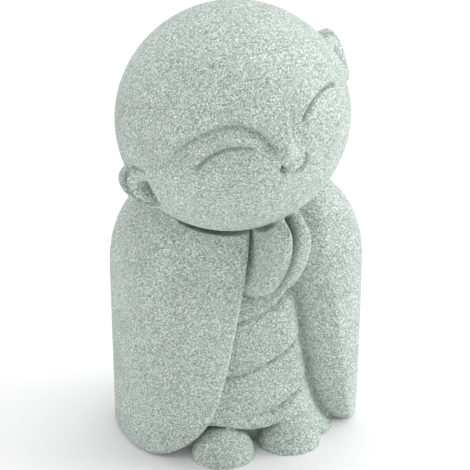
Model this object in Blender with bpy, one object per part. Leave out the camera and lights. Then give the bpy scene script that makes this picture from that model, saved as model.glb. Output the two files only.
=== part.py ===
"""A small standing jizo cast in one piece from stone powder, bare of any base.

The figure faces -Y with +Z up and +X on its left-hand side. The origin is on the underside, below
the middle of the body. Lengths are in metres and angles in degrees unless a name says otherwise.
"""

from math import cos, exp, pi, radians, sin

import bmesh
import bpy
import numpy as np
from mathutils import Matrix, Vector

# Height of the whole figure. Each other length is in millimetres of a figure this tall.
FIGURE_TALL = 0.103
DRAWN_TALL_MM = 103.0
MM = FIGURE_TALL / DRAWN_TALL_MM

# Body under the cloak, from the ground to the top of the shoulders.
BODY_HALF_WIDE = 27.1 * MM
GROUND_HALF_WIDE = 26.5 * MM
BACK_DEEP = 22.9 * MM
FRONT_DEEP = 17.2 * MM
FRONT_DEEP_AT_GROUND = 15.6 * MM
FRONT_LEAN_TALL = 8.0 * MM
BODY_TURN = 0.065
SHOULDER_START = 38.0 * MM
SHOULDER_TOP = 62.8 * MM
SHOULDER_POWER = 2.45
SHOULDER_FRONT_SHARE = 0.7
SHOULDER_CAP = 0.3 * MM
PLAN_POWER_FRONT = 2.7
PLAN_POWER_BACK = 2.4
BASE_EDGE_ROUND = 1.2 * MM

# The opening between the sleeves, from the middle to each edge, and how far the cloak's wall runs
# in behind it. The edge on the figure's right is crisp and the one on its left broadly rounded.
# The right one flares at its foot until this much of the sleeve is left on the ground.
OPENING_TOP = 52.6 * MM
OPENING_FOOT_TALL = 5.0 * MM
RIGHT_SLEEVE_AT_GROUND = 3.095 * MM
RIGHT_OPENING = 4.2 * MM
RIGHT_FLARE = 0.175
RIGHT_FOOT_FLARE = GROUND_HALF_WIDE - RIGHT_SLEEVE_AT_GROUND - RIGHT_OPENING - RIGHT_FLARE * OPENING_TOP
RIGHT_EDGE_ROUND = 1.2 * MM
LEFT_OPENING = 5.9 * MM
LEFT_FLARE = 0.15
LEFT_FOOT_FLARE = 5.0 * MM
LEFT_EDGE_ROUND = 4.0 * MM
MOST_EDGE_SHARE = 0.4
SLEEVE_WALL_REACH = 6.0 * MM

# Robe inside the sleeves, hollowed at the chest, with its hem lifted by each foot: how far, where
# and how widely. Each fold has its height in the middle, slope, bow, and where it starts to fade.
ROBE_DEEP = 15.4 * MM
ROBE_CHEST_DEEP = 11.0 * MM
ROBE_CHEST = (35.0 * MM, 47.0 * MM)
ROBE_HEM_DEEP = 16.6 * MM
ROBE_TOP = 59.0 * MM
ROBE_BEHIND_RIGHT_SLEEVE = 6.0 * MM
ROBE_BEHIND_LEFT_SLEEVE = 0.8 * MM
ROBE_FOOT_SHARE = 0.35
ROBE_RIGHT_POWER = 2.5
ROBE_LEFT_POWER = 3.8
CORE_DEEP = 11.8 * MM
HEM_TALL = 5.3 * MM
HEM_OVER_RIGHT_FOOT = (2.0 * MM, -12.0 * MM, 6.5 * MM)
HEM_OVER_LEFT_FOOT = (1.1 * MM, 6.0 * MM, 5.0 * MM)
HEM_FALL = 5.6 * MM
HEM_FALL_ACROSS = (9.0 * MM, 15.0 * MM)
HEM_LIP = 0.9 * MM
FOLD_DEEP = 1.7 * MM
FOLD_EDGE = 0.6 * MM
FOLD_SPREAD = 6.0 * MM
FOLD_FADE = 5.0 * MM
FOLD_FAINTEST = 0.25
FOLDS = (
    (34.5 * MM, 0.42, 0.012 / MM, -12.0 * MM),
    (21.6 * MM, 0.41, 0.0145 / MM, -16.0 * MM),
    (9.8 * MM, 0.26, 0.028 / MM, -2.0 * MM),
)

# Feet, two rounded toeless domes that touch.
FOOT_PAIR_X = -2.1 * MM
FOOT_HALF_APART = 7.8 * MM
FOOT_FORWARD = 13.6 * MM
FOOT_HALF_WIDE = 7.1 * MM
FOOT_HALF_LONG = 7.0 * MM
FOOT_TALL = 6.4 * MM

# Hands, two mitten shapes pressed together under the chin. Thickness is to the palm's side and to
# the back of the hand, which tapers towards the tips, and depth to its front edge and into the
# sleeves.
HAND_PAIR_X = 0.4 * MM
HAND_HALF_APART = 1.5 * MM
HAND_PALM_THICK = 1.25 * MM
HAND_BACK_THICK = 2.9 * MM
HAND_HALF_LONG = 12.1 * MM
HAND_FRONT_DEEP = 4.6 * MM
HAND_REAR_DEEP = 12.0 * MM
HAND_FORWARD = 19.8 * MM
HAND_UP = 48.8 * MM
HAND_LEAN = 34.0
HAND_OUTLINE_POWER = 2.15
HAND_ACROSS_POWER = 3.0
HAND_BACK_TAPER = 0.4

# Head, an egg a little wider than tall, tipped towards the figure's right and looking up.
HEAD_HALF_WIDE = 25.1 * MM
HEAD_HALF_DEEP = 24.8 * MM
HEAD_HALF_TALL = 24.5 * MM
HEAD_PLACE = (-5.0 * MM, -8.0 * MM, 78.4 * MM)
HEAD_ROLL = -19.4
HEAD_PITCH = 13.5
HEAD_YAW = -2.4

# Face, in degrees of longitude to the figure's left and latitude above the eye line.
BROW_MIDDLE = (29.0, -8.4)
BROW_REACH_IN = 25.0
BROW_REACH_OUT = 36.0
BROW_RISE = 25.2
BROW_POWER = 2.2
BROW_STEP_DEEP = 1.2 * MM
BROW_STEP_WIDE = 2.6
BROW_FADE = (3.0, 13.0)
BROW_FOOT = (-14.0, 0.0)
BROW_OUTER_FADE = (44.0, 64.0)
EYE_INNER = 13.0
EYE_OUTER = 45.0
EYE_RISE = 5.4
EYE_DROP = 0.7
EYE_DEEP = 1.0 * MM
EYE_HALF_WIDE = 0.5 * MM
EYE_END_SHARE = 0.12
NOSE_PLACE = (0.0, -11.0)
NOSE_PROUD = 1.0 * MM
NOSE_SPREAD = (3.4, 3.6)
LIP_PLACE = (2.6, -17.3)
LIP_PROUD = 0.6 * MM
LIP_SPREAD = (3.6, 2.4)
MOUTH_MIDDLE = (2.2, -17.8)
MOUTH_HALF_WIDE = 7.0
MOUTH_DROP = 5.0
MOUTH_POWER = 3.0
MOUTH_DEEP = 1.1 * MM
MOUTH_HALF_THICK = 0.55 * MM
MOUTH_END_SHARE = 0.15
CHEEK_PLACE = (30.0, -14.0)
CHEEK_PROUD = 0.5 * MM
CHEEK_SPREAD = (17.0, 14.0)

# Where the face is drawn: how directly forward and how low it reaches, as shares of a direction,
# and how near to the plain egg a point counts as skin. Shares of the head's half sizes bound it.
FACE_FORWARD = (0.15, 0.3)
FACE_LOW = (-0.75, -0.65)
SKIN_WITHIN = (1.4 * MM, 2.2 * MM)
FACE_WIDE_SHARE = 0.85
FACE_TALL_SHARE = 0.62

# Ears, oval shells on the head's sides with their long way down towards the jaw, turned a little
# to the front. Each has a wide shallow hollow and a deep hole towards the cheek, placed from the
# ear's middle along its long way and across it.
EAR_OUT = 23.8 * MM
EAR_FORWARD = 1.1 * MM
EAR_BELOW_EYES = 0.8 * MM
EAR_HALF_THICK = 3.2 * MM
EAR_HALF_LONG = 6.9 * MM
EAR_HALF_ACROSS = 5.1 * MM
EAR_LEAN = 33.0
EAR_TO_FRONT = 11.0
EAR_LINE_TILT = -5.0
EAR_EDGE_POWER = 3.2
HOLLOW_ALONG = 0.9 * MM
HOLLOW_REACH = (0.45, 0.8)
HOLLOW_DEEP = 1.2 * MM
HOLE_ALONG = 2.3 * MM
HOLE_ACROSS = 0.5 * MM
HOLE_HALF_LONG = 2.8 * MM
HOLE_HALF_ACROSS = 2.0 * MM
HOLE_DEEP = 2.6 * MM
EAR_FINE_REACH = 1.2

# How fine the skin is: the cells that the forms are fused in, and the most triangles kept.
CELL = 0.65 * MM
SMOOTHING_ROUNDS = 2
SMOOTHING_SHARE = 0.5
MOST_TRIANGLES = 9900
CLOAK_STEP = 1.0 * MM
ROBE_STEP = 0.5 * MM
BELOW_GROUND = 3.2 * MM
GROUND_CATCH = 0.02 * MM

STONE_COLOUR = (0.49, 0.55, 0.52)
STONE_ROUGHNESS = 0.9


def smooth_step(value, start, end):
    """0 below start, 1 above end, and an even S between them."""
    share = np.clip((value - start) / (end - start), 0.0, 1.0)
    return share * share * (3.0 - 2.0 * share)


def hump(x, y, place, spread):
    """A soft round hump of height 1 at place."""
    return np.exp(-(((x - place[0]) / spread[0]) ** 2) - ((y - place[1]) / spread[1]) ** 2)


def opening_half_wide(side, z, foot_share=1.0):
    """From the middle plane to the sleeve's edge on this side, -1 for the figure's right."""
    right = (RIGHT_OPENING, RIGHT_FLARE, RIGHT_FOOT_FLARE)
    top, flare, foot_flare = right if side < 0 else (LEFT_OPENING, LEFT_FLARE, LEFT_FOOT_FLARE)
    foot = foot_flare * exp(-max(z, 0.0) / OPENING_FOOT_TALL)
    return top + flare * (OPENING_TOP - z) + foot_share * foot


def shoulder_share(z):
    """How much of the full width is left at this height."""
    rise = min(max((z - SHOULDER_START) / (SHOULDER_TOP - SHOULDER_START), 0.0), 1.0)
    return (1.0 - rise**SHOULDER_POWER) ** (1.0 / SHOULDER_POWER)


def base_inset(z):
    """How far the rounded bottom edge draws the outline in."""
    under = min(max((BASE_EDGE_ROUND - z) / BASE_EDGE_ROUND, 0.0), 1.0)
    return BASE_EDGE_ROUND * (1.0 - (1.0 - under * under) ** 0.5)


def cloak_half(side, z, steps=36):
    """Half the cloak's outline at one height: round the back, round the sleeve edge and behind it."""
    upward = min(max(z / SHOULDER_START, 0.0), 1.0)
    wide = GROUND_HALF_WIDE + (BODY_HALF_WIDE - GROUND_HALF_WIDE) * upward
    wide = wide * shoulder_share(z) - base_inset(z)
    back = BACK_DEEP * shoulder_share(z) - base_inset(z)
    lean = exp(-max(z, 0.0) / FRONT_LEAN_TALL)
    front = FRONT_DEEP + (FRONT_DEEP_AT_GROUND - FRONT_DEEP) * lean
    front = front * shoulder_share(z) ** SHOULDER_FRONT_SHARE - base_inset(z)
    edge = opening_half_wide(side, z)
    turn = min(RIGHT_EDGE_ROUND if side < 0 else LEFT_EDGE_ROUND, MOST_EDGE_SHARE * (wide - edge))
    corner = edge + turn
    half = []
    for i in range(steps + 1):
        angle = 0.5 * pi * i / steps
        across = wide * sin(angle) ** (2 / PLAN_POWER_BACK)
        half.append((across, back * cos(angle) ** (2 / PLAN_POWER_BACK)))
    last = np.arcsin((corner / wide) ** (PLAN_POWER_FRONT / 2))
    for i in range(1, steps + 1):
        angle = 0.5 * pi + (0.5 * pi - last) * i / steps
        across = wide * sin(angle) ** (2 / PLAN_POWER_FRONT)
        half.append((across, -front * abs(cos(angle)) ** (2 / PLAN_POWER_FRONT)))
    middle_y = half[-1][1] + turn
    for i in range(1, 9):
        angle = -0.5 * pi - 0.5 * pi * i / 8
        half.append((corner + turn * cos(angle), middle_y + turn * sin(angle)))
    half.append((edge, -SLEEVE_WALL_REACH * shoulder_share(z)))
    return [(side * x, y) for x, y in half]


def cloak_ring(z):
    """The cloak's whole outline at one height."""
    left, right = cloak_half(1, z), cloak_half(-1, z)
    outline = left + list(reversed(right[1:]))
    return [(x, y - BODY_TURN * x, z) for x, y in outline]


def hem_height(x):
    """The hem is lifted by each foot and falls to the ground beside the left foot."""
    tall = HEM_TALL - HEM_FALL * smooth_step(x, *HEM_FALL_ACROSS)
    for rise, middle, spread in (HEM_OVER_RIGHT_FOOT, HEM_OVER_LEFT_FOOT):
        tall = tall + rise * np.exp(-(((x - middle) / spread) ** 2))
    return tall


def robe_front(x, z, half_wide):
    """How far the robe's front stands before the body's middle plane, folds and hem included."""
    hem = hem_height(x)
    above_hem = np.clip(z - hem, 0.0, None)
    cloth = ROBE_DEEP + (ROBE_HEM_DEEP - ROBE_DEEP) * np.exp(-above_hem / HEM_TALL)
    cloth += (ROBE_CHEST_DEEP - ROBE_DEEP) * smooth_step(z, *ROBE_CHEST)
    for tall, slope, bow, fade in FOLDS:
        below = tall + slope * x + bow * x * x - z
        kept = smooth_step(x, fade - FOLD_FADE, fade + FOLD_FADE)
        strength = FOLD_FAINTEST + (1.0 - FOLD_FAINTEST) * kept
        step = smooth_step(below, 0.0, FOLD_EDGE)
        cloth -= strength * FOLD_DEEP * step * np.exp(-np.clip(below, 0.0, None) / FOLD_SPREAD)
    deep = CORE_DEEP + (cloth - CORE_DEEP) * smooth_step(z - hem, -HEM_LIP, 0.0)
    share = np.clip(np.abs(x) / half_wide, 0.0, 1.0)
    power = np.where(x > 0.0, ROBE_LEFT_POWER, ROBE_RIGHT_POWER)
    return deep * (1.0 - share**power) ** (1.0 / power)


def robe_ring(z, steps=96):
    """The robe's outline at one height; its back half is inside the cloak."""
    share = np.cos(np.pi * np.arange(steps) / steps)
    left_reach = opening_half_wide(1, z) + ROBE_BEHIND_LEFT_SLEEVE
    right_reach = opening_half_wide(-1, z, ROBE_FOOT_SHARE) + ROBE_BEHIND_RIGHT_SLEEVE
    half_wide = np.where(share > 0.0, left_reach, right_reach)
    x = share * half_wide
    front = robe_front(x, z, half_wide)
    behind = 0.5 * SLEEVE_WALL_REACH * np.sqrt(1.0 - share**2)
    ring = [(a, -b - BODY_TURN * a, z) for a, b in zip(x, front)]
    ring.append((-right_reach, BODY_TURN * right_reach, z))
    ring += [(a, b - BODY_TURN * a, z) for a, b in zip(x[:0:-1], behind[:0:-1])]
    return ring


def heights(low, high, step):
    count = int(round((high - low) / step))
    return [low + (high - low) * i / count for i in range(count + 1)]


def add_loft(form, rings):
    """A closed skin through rings of equally many points, with a cap at each end."""
    rows = [[form.verts.new(point) for point in ring] for ring in rings]
    count = len(rows[0])
    for lower, upper in zip(rows, rows[1:]):
        for i in range(count):
            j = (i + 1) % count
            form.faces.new((lower[i], lower[j], upper[j], upper[i]))
    form.faces.new(rows[0])
    form.faces.new(rows[-1])


def add_egg(form, middle, half_sizes, turn=None, outline_power=2.0, across_power=2.0, shares=(1.0, 1.0)):
    """An egg with these half sizes, turned and put at its middle.

    Powers over 2 square up its outline as seen along its own X, and its section across X. The
    shares stretch its left half and its back half.
    """
    ball = bmesh.ops.create_icosphere(form, subdivisions=5, radius=1.0)
    matrix = Matrix.Translation(middle) @ (turn or Matrix.Identity(4)) @ Matrix.Diagonal((*half_sizes, 1.0))
    for vert in ball["verts"]:
        x, y, z = (abs(value) for value in vert.co)
        outline = (y**outline_power + z**outline_power) ** (1.0 / outline_power)
        point = vert.co / (x**across_power + outline**across_power) ** (1.0 / across_power)
        point.x *= shares[0] if point.x > 0.0 else 1.0
        point.y *= shares[1] if point.y > 0.0 else 1.0
        vert.co = matrix @ point
    return ball["verts"]


def head_turn():
    """Columns are the head's left side, its front and its top."""
    roll = Matrix.Rotation(radians(HEAD_ROLL), 4, "Y")
    pitch = Matrix.Rotation(radians(-HEAD_PITCH), 4, "X")
    yaw = Matrix.Rotation(radians(HEAD_YAW), 4, "Z")
    return yaw @ pitch @ roll


HEAD = Matrix.Translation(HEAD_PLACE) @ head_turn()


def ear_frame(side):
    """The ear's own frame: X out of the head, or into it on the figure's right, and -Y down the ear."""
    place = Matrix.Translation((side * EAR_OUT, -EAR_FORWARD, -EAR_BELOW_EYES))
    line = Matrix.Rotation(radians(EAR_LINE_TILT), 4, "Y")
    to_front = Matrix.Rotation(radians(-side * EAR_TO_FRONT), 4, "Z")
    return HEAD @ line @ place @ to_front @ Matrix.Rotation(radians(EAR_LEAN), 4, "X")


def add_ears(form):
    for side in (-1, 1):
        ear = ear_frame(side)
        half_sizes = (EAR_HALF_THICK, EAR_HALF_LONG, EAR_HALF_ACROSS)
        add_egg(form, ear.translation, half_sizes, ear.to_3x3().to_4x4(), across_power=EAR_EDGE_POWER)


def add_hands(form):
    lean = Matrix.Rotation(radians(HAND_LEAN), 4, "X")
    for side in (-1, 1):
        place = Vector((HAND_PAIR_X + side * HAND_HALF_APART, -HAND_FORWARD, HAND_UP))
        right_thick, left_thick = (HAND_BACK_THICK, HAND_PALM_THICK)[::-side]
        half_sizes = (right_thick, HAND_FRONT_DEEP, HAND_HALF_LONG)
        shares = (left_thick / right_thick, HAND_REAR_DEEP / HAND_FRONT_DEEP)
        hand = add_egg(form, place, half_sizes, lean, HAND_OUTLINE_POWER, HAND_ACROSS_POWER, shares)
        for vert in hand:
            up_hand = (lean.inverted() @ (vert.co - place)).z / HAND_HALF_LONG
            off_middle = vert.co.x - place.x
            if side * off_middle > 0.0:
                vert.co.x -= HAND_BACK_TAPER * up_hand * off_middle


def add_feet(form):
    for side in (-1, 1):
        foot_x = FOOT_PAIR_X + side * FOOT_HALF_APART
        place = Vector((foot_x, -FOOT_FORWARD - BODY_TURN * foot_x, 0.0))
        add_egg(form, place, (FOOT_HALF_WIDE, FOOT_HALF_LONG, FOOT_TALL))


def brow_recess(side, lat):
    """How much of the full step in under the brow line each direction gets, from 0 to 1."""
    reach = np.where(side < BROW_MIDDLE[0], BROW_REACH_IN, BROW_REACH_OUT)
    across = np.abs(side - BROW_MIDDLE[0]) / reach
    up = np.clip(lat - BROW_MIDDLE[1], 0.0, None) / BROW_RISE
    inside = BROW_REACH_IN * (1.0 - (across**BROW_POWER + up**BROW_POWER) ** (1 / BROW_POWER))
    step = smooth_step(inside, 0.0, BROW_STEP_WIDE) * (1.0 - smooth_step(inside, *BROW_FADE))
    return step * smooth_step(lat, *BROW_FOOT) * (1.0 - smooth_step(side, *BROW_OUTER_FADE))


def line_groove(distance, half_wide, taper):
    """A round-bottomed groove, 1 deep on the line."""
    return np.exp(-((distance / half_wide) ** 2)) * taper


def head_skin(directions):
    """Distance from the head's middle to its skin along unit directions in the head's own frame."""
    x, y, z = directions[:, 0], -directions[:, 1], directions[:, 2]
    egg = 1.0 / np.sqrt((x / HEAD_HALF_WIDE) ** 2 + (y / HEAD_HALF_DEEP) ** 2 + (z / HEAD_HALF_TALL) ** 2)
    lon = np.degrees(np.arctan2(x, y))
    lat = np.degrees(np.arcsin(np.clip(z, -1.0, 1.0)))
    side = np.abs(lon)
    degree = radians(1.0) * HEAD_HALF_DEEP
    skin = egg - BROW_STEP_DEEP * brow_recess(side, lat)
    skin += CHEEK_PROUD * hump(side, lat, CHEEK_PLACE, CHEEK_SPREAD)
    skin += NOSE_PROUD * hump(lon, lat, NOSE_PLACE, NOSE_SPREAD)
    skin += LIP_PROUD * hump(lon, lat, LIP_PLACE, LIP_SPREAD)
    along = (side - EYE_INNER) / (EYE_OUTER - EYE_INNER)
    eye_line = EYE_RISE * (1.0 - (2.0 * along - 1.0) ** 2) - EYE_DROP
    slope = 4.0 * EYE_RISE * (1.0 - 2.0 * along) / (EYE_OUTER - EYE_INNER)
    off_line = (lat - eye_line) * degree / np.sqrt(1.0 + slope**2)
    ends = smooth_step(along, 0.0, EYE_END_SHARE) * smooth_step(1.0 - along, 0.0, EYE_END_SHARE)
    skin -= EYE_DEEP * line_groove(off_line, EYE_HALF_WIDE, ends)
    across = np.abs(lon - MOUTH_MIDDLE[0]) / MOUTH_HALF_WIDE
    mouth_line = MOUTH_MIDDLE[1] - MOUTH_DROP * (1.0 - across**MOUTH_POWER)
    slope = MOUTH_DROP * MOUTH_POWER * across ** (MOUTH_POWER - 1.0) / MOUTH_HALF_WIDE
    off_line = (lat - mouth_line) * degree / np.sqrt(1.0 + slope**2)
    ends = 1.0 - smooth_step(across, 1.0, 1.0 + MOUTH_END_SHARE)
    skin -= MOUTH_DEEP * line_groove(off_line, MOUTH_HALF_THICK, ends)
    return skin


def add_head(form):
    matrix = HEAD @ Matrix.Diagonal((HEAD_HALF_WIDE, HEAD_HALF_DEEP, HEAD_HALF_TALL, 1.0))
    bmesh.ops.create_icosphere(form, subdivisions=6, radius=1.0, matrix=matrix)


def body_form():
    """Every form of the figure as closed, overlapping skins in one mesh."""
    form = bmesh.new()
    cloak_heights = heights(-BELOW_GROUND, SHOULDER_TOP - SHOULDER_CAP, CLOAK_STEP)
    add_loft(form, [cloak_ring(z) for z in cloak_heights])
    add_loft(form, [robe_ring(z) for z in heights(-BELOW_GROUND, ROBE_TOP, ROBE_STEP)])
    add_feet(form)
    add_hands(form)
    add_head(form)
    add_ears(form)
    bmesh.ops.recalc_face_normals(form, faces=form.faces)
    mesh = bpy.data.meshes.new("forms")
    form.to_mesh(mesh)
    form.free()
    return mesh


def settle(figure):
    """The figure's modifiers become part of its mesh."""
    graph = bpy.context.evaluated_depsgraph_get()
    mesh = bpy.data.meshes.new_from_object(figure.evaluated_get(graph))
    figure.modifiers.clear()
    figure.data = mesh


def fuse(figure):
    """The overlapping forms become one closed skin with softened inner corners."""
    remesh = figure.modifiers.new("fuse", "REMESH")
    remesh.mode = "VOXEL"
    remesh.voxel_size = CELL
    soften = figure.modifiers.new("soften", "SMOOTH")
    soften.factor = SMOOTHING_SHARE
    soften.iterations = int(SMOOTHING_ROUNDS)
    settle(figure)


def on_face(point):
    """Whether a point in the head's frame lies on the skin that the face is drawn on."""
    off_skin = abs(point.length - HEAD_HALF_WIDE)
    narrow = abs(point.x) < FACE_WIDE_SHARE * HEAD_HALF_WIDE
    low = abs(point.z) < FACE_TALL_SHARE * HEAD_HALF_TALL
    return narrow and low and off_skin < SKIN_WITHIN[0] and -point.y > FACE_FORWARD[0] * point.length


def in_ear(point):
    """Whether a point in an ear's frame lies on the ear's outer half."""
    reach = (point.y / EAR_HALF_LONG) ** 2 + (point.z / EAR_HALF_ACROSS) ** 2
    return abs(point.x) < 2.0 * EAR_HALF_THICK and reach < EAR_FINE_REACH


def refine(skin):
    """Halves the cells of the face and the ears."""
    to_head = HEAD.inverted()
    to_ears = [ear_frame(side).inverted() for side in (-1, 1)]
    near = []
    for vert in skin.verts:
        if on_face(to_head @ vert.co) or any(in_ear(to_ear @ vert.co) for to_ear in to_ears):
            near.append(vert)
    fine = {face for vert in near for face in vert.link_faces}
    edges = list({edge for face in fine for edge in face.edges})
    bmesh.ops.subdivide_edges(skin, edges=edges, cuts=1, use_grid_fill=True)


def points_in(skin, matrix):
    """The skin's points as an array, in the frame that the matrix leads to."""
    to_frame = matrix.inverted()
    return np.array([to_frame @ vert.co for vert in skin.verts])


def put_points(skin, points, matrix):
    """Writes points given in the matrix's frame back into the skin."""
    for vert, point in zip(skin.verts, points):
        vert.co = matrix @ Vector(point)


def carve(figure):
    """Face and ear hollows, carved into the fused skin."""
    skin = bmesh.new()
    skin.from_mesh(figure.data)
    refine(skin)
    points = points_in(skin, HEAD)
    length = np.linalg.norm(points, axis=1)
    directions = points / length[:, None]
    held = smooth_step(-directions[:, 1], *FACE_FORWARD) * smooth_step(directions[:, 2], *FACE_LOW)
    held *= 1.0 - smooth_step(np.abs(length - HEAD_HALF_WIDE), *SKIN_WITHIN)
    points += directions * (held * (head_skin(directions) - length))[:, None]
    put_points(skin, points, HEAD)
    for side in (-1, 1):
        points = points_in(skin, ear_frame(side))
        points[:, 0] -= side * ear_hollow(points, side)
        put_points(skin, points, ear_frame(side))
    bmesh.ops.triangulate(skin, faces=skin.faces)
    skin.to_mesh(figure.data)
    skin.free()


def ear_hollow(points, side):
    """How far each point of an ear is pressed towards the head, given in the ear's own frame."""
    outward, along, across = side * points[:, 0], -points[:, 1], points[:, 2]
    reach = np.hypot((along - HOLLOW_ALONG) / EAR_HALF_LONG, across / EAR_HALF_ACROSS)
    outer = smooth_step(outward, 0.0, 0.5 * EAR_HALF_THICK) * (reach < EAR_FINE_REACH)
    hole = np.hypot((along - HOLE_ALONG) / HOLE_HALF_LONG, (across - HOLE_ACROSS) / HOLE_HALF_ACROSS)
    depth = HOLLOW_DEEP * (1.0 - smooth_step(reach, *HOLLOW_REACH)) + HOLE_DEEP * np.exp(-(hole**3))
    return depth * outer


def thin_out(figure):
    """Fewer triangles, the most where the skin bends."""
    count = len(figure.data.polygons)
    thin = figure.modifiers.new("thin out", "DECIMATE")
    thin.ratio = MOST_TRIANGLES / count
    settle(figure)


def cut_underside(figure):
    """A flat underside at z = 0."""
    skin = bmesh.new()
    skin.from_mesh(figure.data)
    everything = skin.verts[:] + skin.edges[:] + skin.faces[:]
    bmesh.ops.bisect_plane(
        skin, geom=everything, dist=GROUND_CATCH, plane_co=(0, 0, 0), plane_no=(0, 0, -1), clear_outer=True
    )
    rim = [edge for edge in skin.edges if edge.is_boundary]
    for edge in rim:
        for vert in edge.verts:
            vert.co.z = 0.0
    bmesh.ops.triangle_fill(skin, edges=rim, use_beauty=True, normal=(0, 0, -1))
    bmesh.ops.recalc_face_normals(skin, faces=skin.faces)
    skin.to_mesh(figure.data)
    skin.free()


def stone():
    material = bpy.data.materials.new("grey_green_cast_stone")
    material.use_nodes = True
    shader = material.node_tree.nodes["Principled BSDF"]
    shader.inputs["Base Color"].default_value = (*STONE_COLOUR, 1.0)
    shader.inputs["Roughness"].default_value = STONE_ROUGHNESS
    shader.inputs["Metallic"].default_value = 0.0
    return material


def clear_scene():
    for item in list(bpy.data.objects):
        bpy.data.objects.remove(item, do_unlink=True)


def build():
    clear_scene()
    figure = bpy.data.objects.new("jizo_figure", body_form())
    bpy.context.scene.collection.objects.link(figure)
    fuse(figure)
    carve(figure)
    thin_out(figure)
    cut_underside(figure)
    figure.data.materials.clear()
    figure.data.materials.append(stone())
    figure.data.shade_smooth()
    return figure


build()
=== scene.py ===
"""Looks of a small jizo figure, cast in one from grey-green stone powder.

The figure faces -Y with +Z up and +X on its left-hand side. Lengths are in metres, worked out from
millimetres of the real figure, and the angles given in capitals are in degrees.
"""

from math import cos, exp, pi, radians, sin

import bmesh
import bpy
import numpy as np
from mathutils import Matrix, Vector


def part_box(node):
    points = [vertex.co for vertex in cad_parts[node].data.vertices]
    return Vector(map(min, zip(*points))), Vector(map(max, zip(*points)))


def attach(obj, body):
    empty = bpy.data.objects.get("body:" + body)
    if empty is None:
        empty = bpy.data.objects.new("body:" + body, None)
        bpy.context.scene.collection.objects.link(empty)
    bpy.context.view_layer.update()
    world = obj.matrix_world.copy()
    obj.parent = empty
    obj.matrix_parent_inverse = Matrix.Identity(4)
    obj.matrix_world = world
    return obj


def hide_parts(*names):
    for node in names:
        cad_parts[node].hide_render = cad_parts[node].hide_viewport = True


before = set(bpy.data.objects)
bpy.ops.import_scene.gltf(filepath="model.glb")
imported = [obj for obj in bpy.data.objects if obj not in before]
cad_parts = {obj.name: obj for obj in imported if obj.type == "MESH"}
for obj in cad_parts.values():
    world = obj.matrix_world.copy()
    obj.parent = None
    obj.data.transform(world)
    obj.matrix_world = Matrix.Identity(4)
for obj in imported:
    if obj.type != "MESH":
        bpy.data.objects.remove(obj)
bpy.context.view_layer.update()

# Real size
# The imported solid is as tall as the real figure, so one millimetre of the figure is its height
# shared out over the millimetres that the real one measures.
REAL_TALL_MM = 103.0
MM = (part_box("jizo_figure")[1].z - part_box("jizo_figure")[0].z) / REAL_TALL_MM


# Camera
# It looks down on the figure from its right-hand side, from about two thirds of a metre, through a
# long lens. The frame is square, and its middle stands a little off the point looked at.
CAMERA_AZIMUTH = -26.0
CAMERA_ELEVATION = 26.0
CAMERA_AWAY = 650.0 * MM
CAMERA_AIM = Vector((0.0, 0.0, 52.0 * MM))
SENSOR_WIDE_MM = 36.0
LENS_OVER_SENSOR = 6.36
AIM_OFF_MIDDLE = (0.0055, 0.0553)


def add_camera():
    """A camera at the photo's angle, looking at the middle of the figure."""
    azimuth, elevation = radians(CAMERA_AZIMUTH), radians(CAMERA_ELEVATION)
    level = cos(elevation)
    back = Vector((sin(azimuth) * level, -cos(azimuth) * level, sin(elevation)))
    lens = bpy.data.cameras.new("long_lens")
    lens.sensor_width = SENSOR_WIDE_MM
    lens.lens = SENSOR_WIDE_MM * LENS_OVER_SENSOR
    lens.shift_x = -AIM_OFF_MIDDLE[0]
    lens.shift_y = -AIM_OFF_MIDDLE[1]
    camera = bpy.data.objects.new("camera", lens)
    camera.location = CAMERA_AIM + back * CAMERA_AWAY
    camera.rotation_euler = back.to_track_quat("Z", "Y").to_euler()
    bpy.context.scene.collection.objects.link(camera)
    bpy.context.scene.camera = camera


add_camera()


# Cloak
# The long cloak is the outside of the casting: back, shoulders and both hanging sleeves, in cast
# stone from the same mould as everything else. Its front edges part to show the robe: a crisp one
# on the figure's right, which flares at the ground, and a broadly rounded one on its left.
BODY_HALF_WIDE = 27.1 * MM
GROUND_HALF_WIDE = 26.5 * MM
BACK_DEEP = 22.9 * MM
FRONT_DEEP = 17.2 * MM
FRONT_DEEP_AT_GROUND = 15.6 * MM
FRONT_LEAN_TALL = 8.0 * MM
BODY_TURN_SLOPE = 0.065
SHOULDER_START = 38.0 * MM
SHOULDER_TOP = 62.8 * MM
SHOULDER_POWER = 2.45
SHOULDER_FRONT_SHARE = 0.7
SHOULDER_CAP = 0.3 * MM
PLAN_POWER_FRONT = 2.7
PLAN_POWER_BACK = 2.4
BASE_EDGE_ROUND = 1.2 * MM
OPENING_TOP = 52.6 * MM
OPENING_FOOT_TALL = 5.0 * MM
RIGHT_OPENING = 4.2 * MM
RIGHT_FLARE = 0.175
RIGHT_FOOT_FLARE = 10.0 * MM
RIGHT_EDGE_ROUND = 1.1 * MM
LEFT_OPENING = 5.9 * MM
LEFT_FLARE = 0.15
LEFT_FOOT_FLARE = 5.0 * MM
LEFT_EDGE_ROUND = 7.2 * MM
MOST_EDGE_SHARE = 0.5
SLEEVE_WALL_REACH = 6.0 * MM
BELOW_GROUND = 2.5 * MM
CLOAK_STEP = 0.6 * MM
CLOAK_CURVE_STEPS = 60
EDGE_CURVE_STEPS = 10

casting = bmesh.new()


def shoulder_share(z):
    """How much of the full width is left at this height."""
    rise = min(max((z - SHOULDER_START) / (SHOULDER_TOP - SHOULDER_START), 0.0), 1.0)
    return (1.0 - rise**SHOULDER_POWER) ** (1.0 / SHOULDER_POWER)


def base_inset(z):
    """How far the rounded bottom edge draws the outline in."""
    under = min(max((BASE_EDGE_ROUND - z) / BASE_EDGE_ROUND, 0.0), 1.0)
    return BASE_EDGE_ROUND * (1.0 - (1.0 - under * under) ** 0.5)


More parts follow.
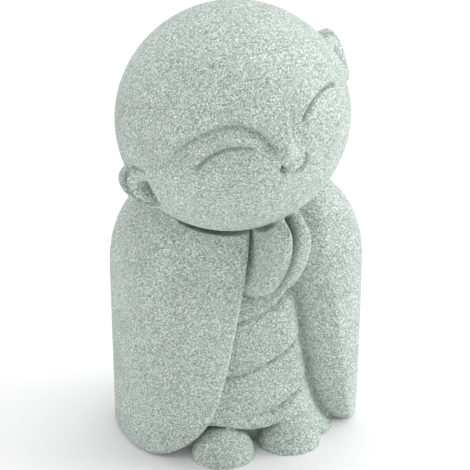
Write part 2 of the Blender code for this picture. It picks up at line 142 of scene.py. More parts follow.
def opening_half_wide(side, z, foot_share=1.0):
    """From the middle plane to the sleeve's edge on this side, -1 for the figure's right."""
    right = (RIGHT_OPENING, RIGHT_FLARE, RIGHT_FOOT_FLARE)
    top, flare, foot_flare = right if side < 0 else (LEFT_OPENING, LEFT_FLARE, LEFT_FOOT_FLARE)
    foot = foot_flare * exp(-max(z, 0.0) / OPENING_FOOT_TALL)
    return top + flare * (OPENING_TOP - z) + foot_share * foot


def cloak_half(side, z):
    """Half the cloak's outline at one height: round the back, round the sleeve edge and behind it."""
    upward = min(max(z / SHOULDER_START, 0.0), 1.0)
    wide = GROUND_HALF_WIDE + (BODY_HALF_WIDE - GROUND_HALF_WIDE) * upward
    wide = wide * shoulder_share(z) - base_inset(z)
    back = BACK_DEEP * shoulder_share(z) - base_inset(z)
    lean = exp(-max(z, 0.0) / FRONT_LEAN_TALL)
    front = FRONT_DEEP + (FRONT_DEEP_AT_GROUND - FRONT_DEEP) * lean
    front = front * shoulder_share(z) ** SHOULDER_FRONT_SHARE - base_inset(z)
    edge = opening_half_wide(side, z)
    turn = min(RIGHT_EDGE_ROUND if side < 0 else LEFT_EDGE_ROUND, MOST_EDGE_SHARE * (wide - edge))
    corner = edge + turn
    half = []
    for i in range(CLOAK_CURVE_STEPS + 1):
        angle = 0.5 * pi * i / CLOAK_CURVE_STEPS
        across = wide * sin(angle) ** (2 / PLAN_POWER_BACK)
        half.append((across, back * cos(angle) ** (2 / PLAN_POWER_BACK)))
    last = np.arcsin((corner / wide) ** (PLAN_POWER_FRONT / 2))
    for i in range(1, CLOAK_CURVE_STEPS + 1):
        angle = 0.5 * pi + (0.5 * pi - last) * i / CLOAK_CURVE_STEPS
        across = wide * sin(angle) ** (2 / PLAN_POWER_FRONT)
        half.append((across, -front * abs(cos(angle)) ** (2 / PLAN_POWER_FRONT)))
    middle_y = half[-1][1] + turn
    for i in range(1, EDGE_CURVE_STEPS + 1):
        angle = -0.5 * pi - 0.5 * pi * i / EDGE_CURVE_STEPS
        half.append((corner + turn * cos(angle), middle_y + turn * sin(angle)))
    half.append((edge, -SLEEVE_WALL_REACH * shoulder_share(z)))
    return [(side * x, y) for x, y in half]


def cloak_ring(z):
    """The cloak's whole outline at one height."""
    left, right = cloak_half(1, z), cloak_half(-1, z)
    outline = left + list(reversed(right[1:]))
    return [(x, y - BODY_TURN_SLOPE * x, z) for x, y in outline]


def heights(low, high, step):
    """Evenly spaced heights from low to high, about one step apart."""
    count = int(round((high - low) / step))
    return [low + (high - low) * i / count for i in range(count + 1)]


def add_skin(rings):
    """Adds a closed skin through rings of equally many points, with a cap at each end."""
    rows = [[casting.verts.new(point) for point in ring] for ring in rings]
    count = len(rows[0])
    for lower, upper in zip(rows, rows[1:]):
        for i in range(count):
            j = (i + 1) % count
            casting.faces.new((lower[i], lower[j], upper[j], upper[i]))
    casting.faces.new(rows[0])
    casting.faces.new(rows[-1])


cloak_heights = heights(-BELOW_GROUND, SHOULDER_TOP - SHOULDER_CAP, CLOAK_STEP)
add_skin([cloak_ring(z) for z in cloak_heights])


# Robe
# The robe shows between the sleeves, cast with them. Three folds sweep down towards the figure's
# right, each lapping over the next. A fold is its height in the middle, slope, bow and where it
# fades, and the hem's lift over a foot is how far, where and how widely.
ROBE_DEEP = 15.4 * MM
ROBE_CHEST_DEEP = 9.0 * MM
ROBE_CHEST = (33.0 * MM, 45.0 * MM)
ROBE_HEM_DEEP = 16.6 * MM
ROBE_TOP = 60.0 * MM
ROBE_BEHIND_RIGHT_SLEEVE = 6.0 * MM
ROBE_BEHIND_LEFT_SLEEVE = 0.6 * MM
ROBE_FOOT_SHARE = 0.35
ROBE_RIGHT_POWER = 2.5
ROBE_LEFT_POWER = 3.3
ROBE_BACK_DEEP = 0.5 * SLEEVE_WALL_REACH
CORE_DEEP = 11.0 * MM
HEM_TALL = 5.3 * MM
HEM_OVER_RIGHT_FOOT = (2.0 * MM, -12.0 * MM, 6.5 * MM)
HEM_OVER_LEFT_FOOT = (1.35 * MM, 6.0 * MM, 5.0 * MM)
HEM_FALL = 5.6 * MM
HEM_FALL_ACROSS = (8.0 * MM, 12.8 * MM)
HEM_LIP = 0.25 * MM
FOLD_DEEP = 1.0 * MM
FOLD_EDGE = 0.45 * MM
FOLD_EDGE_REACH = (-0.3 * FOLD_EDGE, 0.7 * FOLD_EDGE)
FOLD_LIP = 0.35 * MM
FOLD_LIP_TALL = 1.6 * MM
FOLD_SPREAD = 6.0 * MM
FOLD_GROOVE_DEEP = 1.1 * MM
FOLD_GROOVE_BELOW = 0.6 * MM
FOLD_GROOVE_HALF_WIDE = 0.6 * MM
FOLD_FADE = 5.0 * MM
FOLD_FAINTEST = 0.25
FOLDS = (
    (34.5 * MM, 0.42, 0.012 / MM, -12.0 * MM),
    (21.6 * MM, 0.41, 0.0145 / MM, -16.0 * MM),
    (9.8 * MM, 0.26, 0.028 / MM, -2.0 * MM),
)
ROBE_STEP = 0.25 * MM
ROBE_CURVE_STEPS = 110


def smooth_step(value, start, end):
    """0 below start, 1 above end, and an even S between them."""
    share = np.clip((value - start) / (end - start), 0.0, 1.0)
    return share * share * (3.0 - 2.0 * share)


def hem_height(x):
    """The hem is lifted by each foot and falls to the ground beside the left foot."""
    tall = HEM_TALL - HEM_FALL * smooth_step(x, *HEM_FALL_ACROSS)
    for rise, middle, spread in (HEM_OVER_RIGHT_FOOT, HEM_OVER_LEFT_FOOT):
        tall = tall + rise * np.exp(-(((x - middle) / spread) ** 2))
    return tall


def robe_front(x, z, half_wide):
    """How far the robe's front stands before the body's middle plane, folds and hem included."""
    hem = hem_height(x)
    above_hem = np.clip(z - hem, 0.0, None)
    cloth = ROBE_DEEP + (ROBE_HEM_DEEP - ROBE_DEEP) * np.exp(-above_hem / HEM_TALL)
    cloth += (ROBE_CHEST_DEEP - ROBE_DEEP) * smooth_step(z, *ROBE_CHEST)
    for tall, slope, bow, fade in FOLDS:
        below = tall + slope * x + bow * x * x - z
        kept = smooth_step(x, fade - FOLD_FADE, fade + FOLD_FADE)
        strength = FOLD_FAINTEST + (1.0 - FOLD_FAINTEST) * kept
        step = smooth_step(below, *FOLD_EDGE_REACH)
        cloth -= strength * FOLD_DEEP * step * np.exp(-np.clip(below, 0.0, None) / FOLD_SPREAD)
        cloth += strength * FOLD_LIP * (1.0 - step) * np.exp(-((below / FOLD_LIP_TALL) ** 2))
        off_groove = (below - FOLD_GROOVE_BELOW) / FOLD_GROOVE_HALF_WIDE
        cloth -= strength * FOLD_GROOVE_DEEP * np.exp(-(off_groove**2))
    deep = CORE_DEEP + (cloth - CORE_DEEP) * smooth_step(z - hem, -HEM_LIP, 0.0)
    share = np.clip(np.abs(x) / half_wide, 0.0, 1.0)
    power = np.where(x > 0.0, ROBE_LEFT_POWER, ROBE_RIGHT_POWER)
    return deep * (1.0 - share**power) ** (1.0 / power)


def robe_ring(z):
    """The robe's outline at one height; its back half is inside the cloak."""
    share = np.cos(np.pi * np.arange(ROBE_CURVE_STEPS) / ROBE_CURVE_STEPS)
    left_reach = opening_half_wide(1, z) + ROBE_BEHIND_LEFT_SLEEVE
    right_reach = opening_half_wide(-1, z, ROBE_FOOT_SHARE) + ROBE_BEHIND_RIGHT_SLEEVE
    half_wide = np.where(share > 0.0, left_reach, right_reach)
    x = share * half_wide
    front = robe_front(x, z, half_wide)
    behind = ROBE_BACK_DEEP * np.sqrt(1.0 - share**2)
    ring = [(a, -b - BODY_TURN_SLOPE * a, z) for a, b in zip(x, front)]
    ring.append((-right_reach, BODY_TURN_SLOPE * right_reach, z))
    ring += [(a, b - BODY_TURN_SLOPE * a, z) for a, b in zip(x[:0:-1], behind[:0:-1])]
    return ring


add_skin([robe_ring(z) for z in heights(-BELOW_GROUND, ROBE_TOP, ROBE_STEP)])


# Feet
# Two rounded domes without toes, side by side and touching. They are cast with the robe, and only
# their fronts show from under its hem.
FOOT_PAIR_X = -2.2 * MM
FOOT_HALF_APART = 7.8 * MM
FOOT_FORWARD = 13.8 * MM
FOOT_HALF_WIDE = 7.1 * MM
FOOT_HALF_LONG = 7.0 * MM
FOOT_TALL = 6.4 * MM
EGG_FINENESS = 6


def add_egg(middle, half_sizes, turn=Matrix(), outline_power=2.0, across_power=2.0, shares=(1.0, 1.0, 1.0)):
    """Adds an egg with these half sizes, turned and put at its middle, and gives back its points.

    Powers over 2 square up its outline as seen along its own X, and its section across X. The
    shares stretch its left half, its back half and its lower half.
    """
    ball = bmesh.ops.create_icosphere(casting, subdivisions=EGG_FINENESS, radius=1.0)
    matrix = Matrix.Translation(middle) @ turn @ Matrix.Diagonal((*half_sizes, 1.0))
    for vert in ball["verts"]:
        x, y, z = (abs(value) for value in vert.co)
        outline = (y**outline_power + z**outline_power) ** (1.0 / outline_power)
        point = vert.co / (x**across_power + outline**across_power) ** (1.0 / across_power)
        point.x *= shares[0] if point.x > 0.0 else 1.0
        point.y *= shares[1] if point.y > 0.0 else 1.0
        point.z *= shares[2] if point.z < 0.0 else 1.0
        vert.co = matrix @ point
    return ball["verts"]


for side in (-1, 1):
    foot_x = FOOT_PAIR_X + side * FOOT_HALF_APART
    foot_middle = Vector((foot_x, -FOOT_FORWARD - BODY_TURN_SLOPE * foot_x, 0.0))
    add_egg(foot_middle, (FOOT_HALF_WIDE, FOOT_HALF_LONG, FOOT_TALL))


# Hands
# Two mitten shapes pressed palm to palm, their tips forward and up under the chin, cast in one with
# the body. Their edges are crisp and leave a groove between them. The fingers aren't carved, and
# the back of the right hand widens towards the wrist.
HAND_PAIR_X = 0.4 * MM
HAND_HALF_APART = 1.5 * MM
HAND_PALM_THICK = 1.25 * MM
RIGHT_HAND_BACK_THICK = 2.5 * MM
LEFT_HAND_BACK_THICK = 3.3 * MM
HAND_HALF_LONG = 12.1 * MM
HAND_FRONT_DEEP = 4.6 * MM
HAND_REAR_DEEP = 12.0 * MM
HAND_FORWARD = 19.8 * MM
HAND_UP = 48.8 * MM
HAND_LEAN = 34.0
HAND_OUTLINE_POWER = 2.15
HAND_ACROSS_POWER = 3.0
RIGHT_HAND_BACK_FLARE = 2.2

hand_turn = Matrix.Rotation(radians(HAND_LEAN), 4, "X")
for side in (-1, 1):
    hand_middle = Vector((HAND_PAIR_X + side * HAND_HALF_APART, -HAND_FORWARD, HAND_UP))
    if side < 0:
        right_thick, left_thick = RIGHT_HAND_BACK_THICK, HAND_PALM_THICK
    else:
        right_thick, left_thick = HAND_PALM_THICK, LEFT_HAND_BACK_THICK
    hand_half_sizes = (right_thick, HAND_FRONT_DEEP, HAND_HALF_LONG)
    hand_shares = (left_thick / right_thick, HAND_REAR_DEEP / HAND_FRONT_DEEP, 1.0)
    hand = add_egg(
        hand_middle, hand_half_sizes, hand_turn, HAND_OUTLINE_POWER, HAND_ACROSS_POWER, hand_shares
    )
    for vert in hand:
        up_hand = (hand_turn.inverted() @ (vert.co - hand_middle)).z / HAND_HALF_LONG
        off_middle = vert.co.x - hand_middle.x
        if side < 0 and off_middle < 0.0 and up_hand < 0.0:
            vert.co.x += RIGHT_HAND_BACK_FLARE * up_hand**2 * off_middle


# Body casting
# Cloak, robe, feet and hands come out of one mould as one stone, so their overlapping forms are
# fused into one closed skin before the head is set on it.
CASTING_CELL = 0.28 * MM


def settle(piece):
    """The piece's modifiers become part of its mesh."""
    graph = bpy.context.evaluated_depsgraph_get()
    mesh = bpy.data.meshes.new_from_object(piece.evaluated_get(graph))
    piece.modifiers.clear()
    piece.data = mesh


def fuse(piece):
    """Makes one closed skin round the piece's overlapping closed skins."""
    bmesh.ops.recalc_face_normals(casting, faces=casting.faces)
    casting.to_mesh(piece.data)
    casting.clear()
    join = piece.modifiers.new("fuse", "REMESH")
    join.mode = "VOXEL"
    join.voxel_size = CASTING_CELL
    settle(piece)


figure = bpy.data.objects.new("jizo_casting", bpy.data.meshes.new("forms"))
bpy.context.scene.collection.objects.link(figure)
fuse(figure)


# Head
# A smooth shaven head, a little wider than tall, tipped towards the figure's right and looking up.
# It rests straight on the shoulders, with no neck, and the mould leaves a narrow gap under the chin.
HEAD_HALF_WIDE = 25.1 * MM
HEAD_HALF_DEEP = 24.8 * MM
HEAD_HALF_TALL = 24.5 * MM
HEAD_LOWER_HALF_TALL = 23.95 * MM
HEAD_PLACE = Vector((-5.0 * MM, -8.0 * MM, 78.4 * MM))
HEAD_ROLL = -19.4
HEAD_PITCH = 13.5
HEAD_YAW = -2.4
CHIN_GAP_WIDE = 0.55 * MM
CHIN_GAP_WAY = Vector((-0.4, -0.42, -0.82))
CHIN_GAP_ALONG = (0.8, 0.93)
HEAD_SUNK = 1.0 * MM

head_turn = (
    Matrix.Rotation(radians(HEAD_YAW), 4, "Z")
    @ Matrix.Rotation(radians(-HEAD_PITCH), 4, "X")
    @ Matrix.Rotation(radians(HEAD_ROLL), 4, "Y")
)
head_frame = Matrix.Translation(HEAD_PLACE) @ head_turn


def points_in(mesh, matrix):
    """The mesh's points as an array, in the frame that the matrix leads to."""
    flat = np.empty(len(mesh.vertices) * 3)
    mesh.vertices.foreach_get("co", flat)
    turned = np.array(matrix.inverted())
    return flat.reshape(-1, 3) @ turned[:3, :3].T + turned[:3, 3]


def put_points(mesh, points, matrix):
    """Writes points given in the matrix's frame back into the mesh."""
    turned = np.array(matrix)
    mesh.vertices.foreach_set("co", (points @ turned[:3, :3].T + turned[:3, 3]).ravel())
    mesh.update()


def press_body(mesh):
    """Presses the body back from the head, to leave the narrow gap that shows under the chin."""
    points = points_in(mesh, Matrix.Translation(HEAD_PLACE))
    length = np.linalg.norm(points, axis=1)
    along = points @ np.array(CHIN_GAP_WAY.normalized()) / length
    opening = smooth_step(along, *CHIN_GAP_ALONG)
    reach = HEAD_HALF_WIDE - HEAD_SUNK + (HEAD_SUNK + CHIN_GAP_WIDE) * opening
    inside = length < reach
    points[inside] *= (reach / length)[inside, None]
    put_points(mesh, points, Matrix.Translation(HEAD_PLACE))


press_body(figure.data)
casting.from_mesh(figure.data)
head_half_sizes = (HEAD_HALF_WIDE, HEAD_HALF_DEEP, HEAD_HALF_TALL)
head_shares = (1.0, 1.0, HEAD_LOWER_HALF_TALL / HEAD_HALF_TALL)
add_egg(HEAD_PLACE, head_half_sizes, head_turn, shares=head_shares)


# Ears
# Each ear is a thick round shell on the side of the head, cast with it and turned to the front. Its
# hollow is pressed in later, so that the rim stands out round it.
RIGHT_EAR_OUT = 22.9 * MM
LEFT_EAR_OUT = 24.2 * MM
EAR_FORWARD = 1.1 * MM
EAR_BELOW_EYES = 1.3 * MM
EAR_HALF_THICK = 3.2 * MM
EAR_HALF_LONG = 6.9 * MM
EAR_HALF_ACROSS = 5.1 * MM
EAR_LEAN = 33.0
EAR_TO_FRONT = 32.0
EAR_LINE_TILT = -5.0
EAR_EDGE_POWER = 4.0


def ear_frame(side):
    """The ear's own frame: X out of the head, or into it on the figure's right, and Z up the ear."""
    out = RIGHT_EAR_OUT if side < 0 else LEFT_EAR_OUT
    place = Matrix.Translation((side * out, -EAR_FORWARD, -EAR_BELOW_EYES))
    line = Matrix.Rotation(radians(EAR_LINE_TILT), 4, "Y")
    to_front = Matrix.Rotation(radians(-side * EAR_TO_FRONT), 4, "Z")
    return head_frame @ line @ place @ to_front @ Matrix.Rotation(radians(EAR_LEAN), 4, "X")


for side in (-1, 1):
    ear_here = ear_frame(side)
    ear_half_sizes = (EAR_HALF_THICK, EAR_HALF_LONG, EAR_HALF_ACROSS)
    ear_turn = ear_here.to_3x3().to_4x4()
    add_egg(ear_here.translation, ear_half_sizes, ear_turn, across_power=EAR_EDGE_POWER)


# Whole casting
# Head, ears and body are one stone too, so they are fused into one skin. Its inner corners are
# slightly softened, as stone powder fills a mould.
SOFTENING_SHARE = 0.5
SOFTENING_ROUNDS = 2

fuse(figure)
soften = figure.modifiers.new("soften", "SMOOTH")
soften.factor = SOFTENING_SHARE
soften.iterations = SOFTENING_ROUNDS
settle(figure)


# Face
# Two brow lines that run down into the nose, two closed smiling eyes and a short deep mouth, drawn
# into the mould and cast with the head. Places are in degrees, to the figure's left and above the
# eye line. An eye is its inner end, outer end, rise, foot and the lift of its outer end.
FACE_DEGREE = radians(1.0) * HEAD_HALF_DEEP
BROW_MIDDLE = (29.0, -8.4)
BROW_REACH_IN = 25.0
BROW_REACH_OUT = 36.0
BROW_RISE = 25.2
BROW_POWER = 2.2
BROW_STEP_DEEP = 0.9 * MM
BROW_STEP_WIDE = 1.4
BROW_FADE = (2.0, 11.0)
BROW_LINE_DEEP = 0.6 * MM
BROW_LINE_HALF_WIDE = 1.0
LEFT_BROW_STEP_SHARE = 0.5
LEFT_BROW_LINE_SHARE = 0.15
BROW_FOOT = (-14.0, 0.0)
BROW_OUTER_FADE = (44.0, 64.0)
RIGHT_EYE = (13.0, 45.0, 5.85, -1.6, 0.9)
LEFT_EYE = (12.4, 45.5, 4.75, -1.5, 3.5)
EYE_DEEP = 1.3 * MM
EYE_HALF_WIDE = 0.42 * MM
EYE_INNER_FADE = (-0.03, 0.12)
EYE_OUTER_FADE = (0.9, 1.03)
LID_PROUD = 0.3 * MM
LID_TALL = 1.3 * MM
NOSE_PLACE = (0.0, -11.0)
NOSE_PROUD = 1.0 * MM
NOSE_SPREAD = (3.4, 3.6)
LIP_PLACE = (2.6, -17.3)
LIP_PROUD = 0.6 * MM
LIP_SPREAD = (3.6, 2.4)
MOUTH_MIDDLE = (2.2, -17.8)
MOUTH_HALF_WIDE = 7.0
MOUTH_DROP = 5.0
MOUTH_POWER = 3.0
MOUTH_DEEP = 1.0 * MM
MOUTH_HALF_THICK = 0.4 * MM
MOUTH_END_FADE = (1.0, 1.15)
MOUTH_PIT = (-4.7, -18.6)
MOUTH_PIT_DEEP = 2.8 * MM
MOUTH_PIT_WIDE = 0.75 * MM
CHEEK_PLACE = (30.0, -14.0)
CHEEK_PROUD = 0.5 * MM
CHEEK_SPREAD = (17.0, 14.0)
FACE_FRONT_FADE = (0.15, 0.3)
FACE_FOOT_FADE = (-0.75, -0.65)
FACE_SKIN_FADE = (0.8 * MM, 1.4 * MM)


def hump(x, y, place, spread):
    """A soft round hump of height 1 at place."""
    return np.exp(-(((x - place[0]) / spread[0]) ** 2) - ((y - place[1]) / spread[1]) ** 2)


def inside_brow(side, lat):
    """Degrees in from the brow line, below 0 outside it. Side is the longitude on either side."""
    reach = np.where(side < BROW_MIDDLE[0], BROW_REACH_IN, BROW_REACH_OUT)
    across = np.abs(side - BROW_MIDDLE[0]) / reach
    up = np.clip(lat - BROW_MIDDLE[1], 0.0, None) / BROW_RISE
    return BROW_REACH_IN * (1.0 - (across**BROW_POWER + up**BROW_POWER) ** (1 / BROW_POWER))


def groove(off_line, half_wide, ends):
    """A round-bottomed groove, 1 deep on its line."""
    return np.exp(-((off_line / half_wide) ** 2)) * ends


def brow_depth(lon, lat):
    """How far the eye hollow inside the brow line, and the line itself, lie behind the forehead."""
    side = np.abs(lon)
    inside = inside_brow(side, lat)
    step = smooth_step(inside, 0.0, BROW_STEP_WIDE) * (1.0 - smooth_step(inside, *BROW_FADE))
    ends = smooth_step(lat, *BROW_FOOT) * (1.0 - smooth_step(side, *BROW_OUTER_FADE))
    step *= np.where(lon > 0.0, LEFT_BROW_STEP_SHARE, 1.0)
    line_share = np.where(lon > 0.0, LEFT_BROW_LINE_SHARE, 1.0)
    line = groove(inside - BROW_STEP_WIDE, BROW_LINE_HALF_WIDE, line_share)
    return ends * (BROW_STEP_DEEP * step + BROW_LINE_DEEP * line)


def eye_height(lon, lat):
    """How far the lid stands proud over each eye's arc, and below 0 in the arc's own groove."""
    inner, outer, rise, foot, tilt = (np.where(lon > 0.0, *pair) for pair in zip(LEFT_EYE, RIGHT_EYE))
    along = (np.abs(lon) - inner) / (outer - inner)
    eye_line = foot + rise * (1.0 - (2.0 * along - 1.0) ** 2) + tilt * along
    slope = (4.0 * rise * (1.0 - 2.0 * along) + tilt) / (outer - inner)
    off_line = (lat - eye_line) * FACE_DEGREE / np.sqrt(1.0 + slope**2)
    ends = smooth_step(along, *EYE_INNER_FADE) * (1.0 - smooth_step(along, *EYE_OUTER_FADE))
    lid = np.exp(-np.abs(off_line) / LID_TALL) * (off_line > 0.0)
    return LID_PROUD * ends * lid - EYE_DEEP * groove(off_line, EYE_HALF_WIDE, ends)


def mouth_depth(lon, lat):
    """How deep the mouth's curve is, which turns up at both ends."""
    across = (lon - MOUTH_MIDDLE[0]) / MOUTH_HALF_WIDE
    bend = np.abs(across) ** MOUTH_POWER
    mouth_line = MOUTH_MIDDLE[1] - MOUTH_DROP * (1.0 - bend)
    slope = MOUTH_DROP * MOUTH_POWER * np.abs(across) ** (MOUTH_POWER - 1.0) / MOUTH_HALF_WIDE
    off_line = (lat - mouth_line) * FACE_DEGREE / np.sqrt(1.0 + slope**2)
    ends = 1.0 - smooth_step(np.abs(across), *MOUTH_END_FADE)
    return MOUTH_DEEP * groove(off_line, MOUTH_HALF_THICK, ends)


def face_skin(directions):
    """Distance from the head's middle to its skin along unit directions in the head's own frame."""
    x, y, z = directions[:, 0], -directions[:, 1], directions[:, 2]
    half_tall = np.where(z < 0.0, HEAD_LOWER_HALF_TALL, HEAD_HALF_TALL)
    egg = 1.0 / np.sqrt((x / HEAD_HALF_WIDE) ** 2 + (y / HEAD_HALF_DEEP) ** 2 + (z / half_tall) ** 2)
    lon = np.degrees(np.arctan2(x, y))
    lat = np.degrees(np.arcsin(np.clip(z, -1.0, 1.0)))
    skin = egg - brow_depth(lon, lat)
    skin += CHEEK_PROUD * hump(np.abs(lon), lat, CHEEK_PLACE, CHEEK_SPREAD)
    skin += NOSE_PROUD * hump(lon, lat, NOSE_PLACE, NOSE_SPREAD)
    skin += LIP_PROUD * hump(lon, lat, LIP_PLACE, LIP_SPREAD)
    skin += eye_height(lon, lat)
    skin -= mouth_depth(lon, lat)
    pit_wide = MOUTH_PIT_WIDE / FACE_DEGREE
    skin -= MOUTH_PIT_DEEP * hump(lon, lat, MOUTH_PIT, (pit_wide, pit_wide))
    return skin


def draw_face(mesh):
    """Draws the face on the front of the head's own skin, and on nothing that stands off it."""
    points = points_in(mesh, head_frame)
    length = np.linalg.norm(points, axis=1)
    directions = points / length[:, None]
    hold = smooth_step(-directions[:, 1], *FACE_FRONT_FADE) * smooth_step(directions[:, 2], *FACE_FOOT_FADE)
    hold *= 1.0 - smooth_step(np.abs(length - HEAD_HALF_WIDE), *FACE_SKIN_FADE)
    points += directions * (hold * (face_skin(directions) - length))[:, None]
    put_points(mesh, points, head_frame)


draw_face(figure.data)


# Ear hollows
# The mould presses a shallow hollow into the outer side of each ear, which leaves the rim standing
# with a narrow groove along its inner side. The hollow ends in a straight slope against the cheek,
# where a deep hole goes in.
HOLLOW_UP = 0.6 * MM
HOLLOW_HALF_LONG = 4.8 * MM
HOLLOW_HALF_ACROSS = 4.4 * MM
HOLLOW_DEEP = 0.6 * MM
HOLLOW_EDGE_FADE = (0.7, 1.0)
HOLLOW_OUTER_FADE = (0.1 * EAR_HALF_THICK, 0.5 * EAR_HALF_THICK)
HOLLOW_MOST_REACH = 2.0
RIM_GROOVE_DEEP = 1.5 * MM
RIM_GROOVE_HALF_WIDE = 0.09
HOLLOW_FRONT = (2.5 * MM, 3.1 * MM)
HOLLOW_FRONT_SLANT = 0.45
HOLE_ALONG = 1.5 * MM
HOLE_DOWN = 0.2 * MM
HOLE_HALF_LONG = 2.5 * MM
HOLE_HALF_ACROSS = 1.7 * MM
HOLE_DEEP = 6.5 * MM


def ear_relief(points, side):
    """How far each point of an ear is pressed towards the head, given in the ear's own frame."""
    outward, along, up = side * points[:, 0], -points[:, 1], points[:, 2]
    reach = np.hypot(along / HOLLOW_HALF_LONG, (up - HOLLOW_UP) / HOLLOW_HALF_ACROSS)
    outer = smooth_step(outward, *HOLLOW_OUTER_FADE)
    outer *= 1.0 - smooth_step(along + HOLLOW_FRONT_SLANT * up, *HOLLOW_FRONT)
    depth = HOLLOW_DEEP * (1.0 - smooth_step(reach, *HOLLOW_EDGE_FADE))
    depth += RIM_GROOVE_DEEP * np.exp(-(((reach - 1.0) / RIM_GROOVE_HALF_WIDE) ** 2))
    hole = np.hypot((along - HOLE_ALONG) / HOLE_HALF_LONG, (up + HOLE_DOWN) / HOLE_HALF_ACROSS)
    depth += HOLE_DEEP * np.exp(-(hole**3))
    return depth * outer * (reach < HOLLOW_MOST_REACH)


for side in (-1, 1):
    points = points_in(figure.data, ear_frame(side))
    points[:, 0] -= side * ear_relief(points, side)
    put_points(figure.data, points, ear_frame(side))


# Underside
# The foot of the casting is ground flat and left bare, and the figure stands on it by its own
# weight. The mesh is thinned first, and then cut off and closed at the ground.
MOST_TRIANGLES = 190000
FINEST_EDGE = 0.01 * MM

triangles = sum(len(face.vertices) - 2 for face in figure.data.polygons)
thin = figure.modifiers.new("thin", "DECIMATE")
thin.ratio = min(1.0, MOST_TRIANGLES / triangles)
settle(figure)
skin = bmesh.new()
skin.from_mesh(figure.data)
bmesh.ops.dissolve_degenerate(skin, dist=FINEST_EDGE, edges=skin.edges)
everything = skin.verts[:] + skin.edges[:] + skin.faces[:]
bmesh.ops.bisect_plane(
    skin, geom=everything, dist=FINEST_EDGE, plane_co=(0, 0, 0), plane_no=(0, 0, -1), clear_outer=True
)
rim = [edge for edge in skin.edges if edge.is_boundary]
for edge in rim:
    for vert in edge.verts:
        vert.co.z = 0.0
bmesh.ops.triangle_fill(skin, edges=rim, use_beauty=True, normal=(0, 0, -1))
bmesh.ops.recalc_face_normals(skin, faces=skin.faces)
skin.to_mesh(figure.data)
skin.free()
figure.data.shade_smooth()


# Stone
# Cast stone: powder of crushed grey-green stone set in a mould and left unpolished. Every grain of
# about a fifth of a millimetre keeps its own shade, some nearly white, so the surface glitters
# without any gloss. Tiny dark pits are air holes that reached the mould.
GRAIN_WIDE_MM = 0.2
GRAIN_SHADES = (
    (0.0, "#78877F"),
    (0.3, "#A5B3AD"),
    (0.6, "#C0CDC7"),
    (0.85, "#D9E2DD"),
    (1.0, "#FAFCFB"),
)
CLOUD_WIDE_MM = 9.0
CLOUD_DETAIL = 2.0
CLOUD_RANGE = (0.3, 0.7)
CLOUD_SHADES = (0.94, 1.06)
PIT_APART_MM = 3.4
PIT_HALF_WIDE_MM = 0.25
PIT_CORE_SHARE = 0.5
PIT_SHADE = 0.45
GRAIN_RAISED = 0.015 * MM
STONE_IOR = 1.5
STONE_ROUGHNESS = 0.9


def linear(code):
    """An sRGB hex colour as the linear values that a shader takes."""
    values = [int(code[i : i + 2], 16) / 255.0 for i in (1, 3, 5)]
    return tuple(v / 12.92 if v <= 0.04045 else ((v + 0.055) / 1.055) ** 2.4 for v in values) + (1.0,)


def add_node(material, kind, settings=None, links=None):
    """Adds a node, with its settings and its inputs' values or links, and gives it back."""
    tree = material.node_tree
    node = tree.nodes.new(kind)
    for name, value in (settings or {}).items():
        setattr(node, name, value)
    for name, value in (links or {}).items():
        if isinstance(value, bpy.types.NodeSocket):
            tree.links.new(value, node.inputs[name])
        else:
            node.inputs[name].default_value = value
    return node


def set_stops(ramp, stops):
    """Gives a colour ramp these (place, hex colour) stops."""
    elements = ramp.color_ramp.elements
    while len(elements) < len(stops):
        elements.new(1.0)
    for stop, (place, code) in zip(elements, stops):
        stop.position = place
        stop.color = linear(code)


def cast_stone():
    """The stone's finish: matt speckled grains, slightly raised, with faint clouds and dark pits."""
    material = bpy.data.materials.new("cast_stone_powder")
    material.use_nodes = True
    material.node_tree.nodes.clear()
    per_mm = 1.0 / MM
    where = add_node(material, "ShaderNodeTexCoord").outputs["Object"]
    grain = add_node(
        material, "ShaderNodeTexVoronoi", links={"Vector": where, "Scale": per_mm / GRAIN_WIDE_MM}
    )
    shade = add_node(material, "ShaderNodeSeparateColor", links={"Color": grain.outputs["Color"]})
    body = add_node(material, "ShaderNodeValToRGB", links={"Fac": shade.outputs["Red"]})
    set_stops(body, GRAIN_SHADES)
    clouds = add_node(
        material,
        "ShaderNodeTexNoise",
        links={"Vector": where, "Scale": per_mm / CLOUD_WIDE_MM, "Detail": CLOUD_DETAIL},
    )
    cloud_share = add_node(
        material,
        "ShaderNodeMapRange",
        links={
            "Value": clouds.outputs["Fac"],
            "From Min": CLOUD_RANGE[0],
            "From Max": CLOUD_RANGE[1],
            "To Min": CLOUD_SHADES[0],
            "To Max": CLOUD_SHADES[1],
        },
    )
    clouded = add_node(
        material,
        "ShaderNodeVectorMath",
        {"operation": "SCALE"},
        {"Vector": body.outputs["Color"], "Scale": cloud_share.outputs["Result"]},
    )
    pits = add_node(
        material, "ShaderNodeTexVoronoi", links={"Vector": where, "Scale": per_mm / PIT_APART_MM}
    )
    pit_edge = PIT_HALF_WIDE_MM / PIT_APART_MM
    pit_share = add_node(
        material,
        "ShaderNodeMapRange",
        links={
            "Value": pits.outputs["Distance"],
            "From Min": PIT_CORE_SHARE * pit_edge,
            "From Max": pit_edge,
            "To Min": PIT_SHADE,
            "To Max": 1.0,
        },
    )
    pitted = add_node(
        material,
        "ShaderNodeVectorMath",
        {"operation": "SCALE"},
        {"Vector": clouded.outputs["Vector"], "Scale": pit_share.outputs["Result"]},
    )
    raised = add_node(
        material,
        "ShaderNodeBump",
        links={"Strength": 1.0, "Distance": GRAIN_RAISED, "Height": shade.outputs["Green"]},
    )
    shader = add_node(
        material,
        "ShaderNodeBsdfPrincipled",
        links={
            "Base Color": pitted.outputs["Vector"],
            "Roughness": STONE_ROUGHNESS,
            "IOR": STONE_IOR,
            "Normal": raised.outputs["Normal"],
        },
    )
    add_node(material, "ShaderNodeOutputMaterial", links={"Surface": shader.outputs["BSDF"]})
    return material


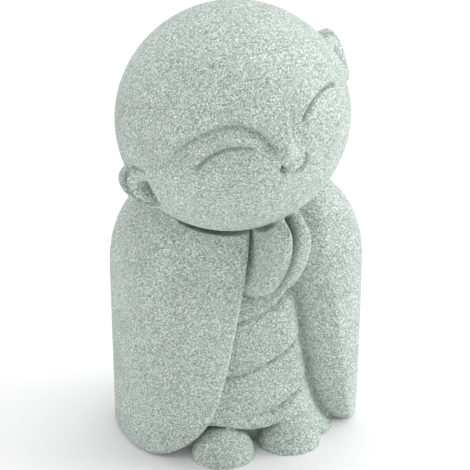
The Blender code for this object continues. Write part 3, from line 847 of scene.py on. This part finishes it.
figure.data.materials.clear()
figure.data.materials.append(cast_stone())
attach(figure, "root")
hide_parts("jizo_figure")


# Floor
# The figure stands on white matt paper that lies flat and runs on out of sight. It is there for the
# picture alone and is no part of the figure.
FLOOR_HALF_WIDE = 3.0
PAPER_COLOUR = "#FBFBFB"
PAPER_ROUGHNESS = 1.0


def add_floor():
    """The sheet of paper under the figure."""
    sheet = bmesh.new()
    bmesh.ops.create_grid(sheet, x_segments=1, y_segments=1, size=FLOOR_HALF_WIDE)
    mesh = bpy.data.meshes.new("floor")
    sheet.to_mesh(mesh)
    sheet.free()
    floor = bpy.data.objects.new("floor", mesh)
    bpy.context.scene.collection.objects.link(floor)
    paper = bpy.data.materials.new("white_paper")
    paper.use_nodes = True
    finish = paper.node_tree.nodes["Principled BSDF"].inputs
    finish["Base Color"].default_value = linear(PAPER_COLOUR)
    finish["Roughness"].default_value = PAPER_ROUGHNESS
    mesh.materials.append(paper)


add_floor()


# Light
# One soft lamp over the figure, a stronger one low on its left, a faint one on its right, and an
# even white surround. Each lamp is given as its place in metres, its width and its power in watts.
SURROUND_STRENGTH = 0.66
LAMPS = (
    ((0.10, 0.05, 0.80), 0.45, 2.2),
    ((0.80, -0.28, 0.28), 0.5, 3.7),
    ((-0.75, 0.10, 0.25), 0.5, 0.6),
)


def add_light():
    """The surround, and the lamps, each turned to where the figure stands."""
    surround = bpy.data.worlds.new("surround")
    surround.use_nodes = True
    background = surround.node_tree.nodes["Background"]
    background.inputs["Color"].default_value = (1.0, 1.0, 1.0, 1.0)
    background.inputs["Strength"].default_value = SURROUND_STRENGTH
    bpy.context.scene.world = surround
    for place, wide, watts in LAMPS:
        lamp = bpy.data.lights.new("soft_lamp", "AREA")
        lamp.shape = "DISK"
        lamp.size = wide
        lamp.energy = watts
        holder = bpy.data.objects.new("soft_lamp", lamp)
        holder.location = place
        holder.rotation_euler = Vector(place).to_track_quat("Z", "Y").to_euler()
        bpy.context.scene.collection.objects.link(holder)


add_light()
bpy.context.scene.view_settings.view_transform = "Standard"
